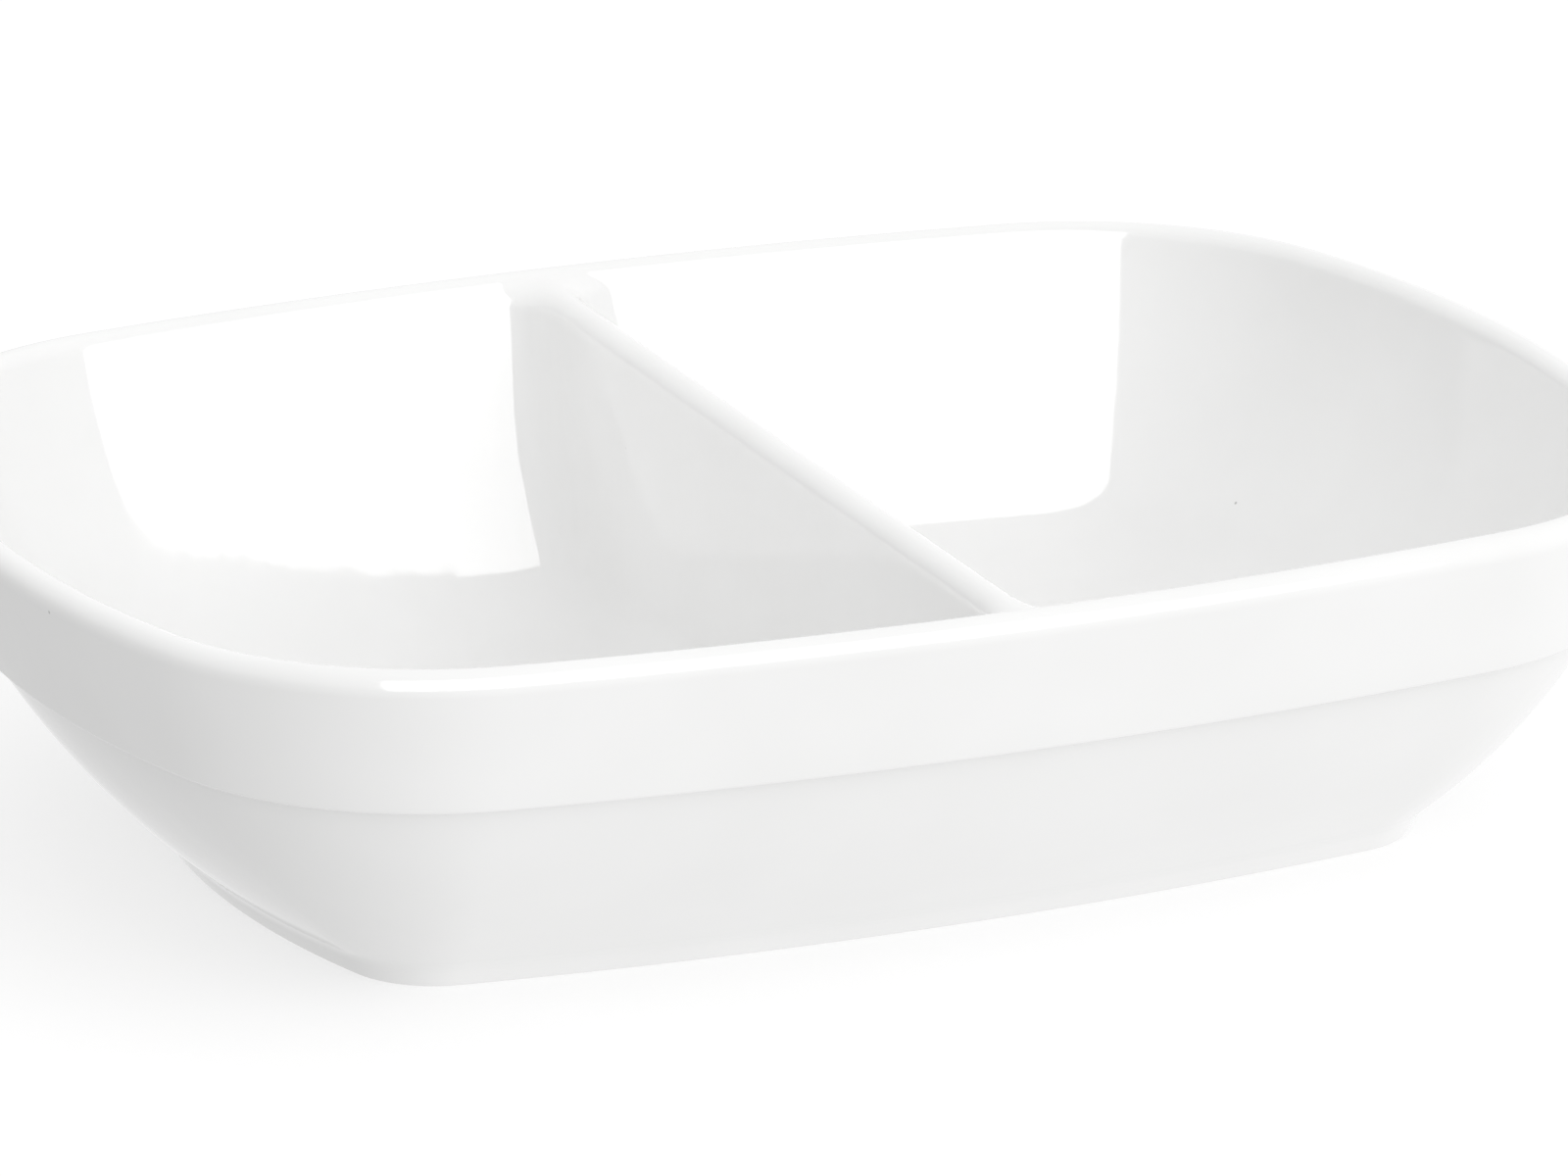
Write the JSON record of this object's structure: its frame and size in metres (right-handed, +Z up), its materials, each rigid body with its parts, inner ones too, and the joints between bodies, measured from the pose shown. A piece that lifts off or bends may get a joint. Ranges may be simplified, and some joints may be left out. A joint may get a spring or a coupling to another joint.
{
  "type": "divided serving dish",
  "caption": "Oblong glazed porcelain serving dish with rounded corners, a thick collared rim, a low divider between deep wells, and a raised standing ring.",
  "frame": {"origin": "centre of the plane the dish stands on, under the middle of the divider", "axes": "+X along the dish's long axis, +Y along the divider, +Z up"},
  "size_m": [0.212, 0.16, 0.049],
  "materials": {
    "glazed_porcelain": "clear gloss glaze over white vitrified porcelain",
    "bare_porcelain": "glazed on its sides, with a bare, ground standing face"
  },
  "bodies": {
    "root": {"dish_body": "glazed_porcelain", "rim_collar": "glazed_porcelain", "divider": "glazed_porcelain", "foot_ring": "bare_porcelain"}
  },
  "joints": []
}
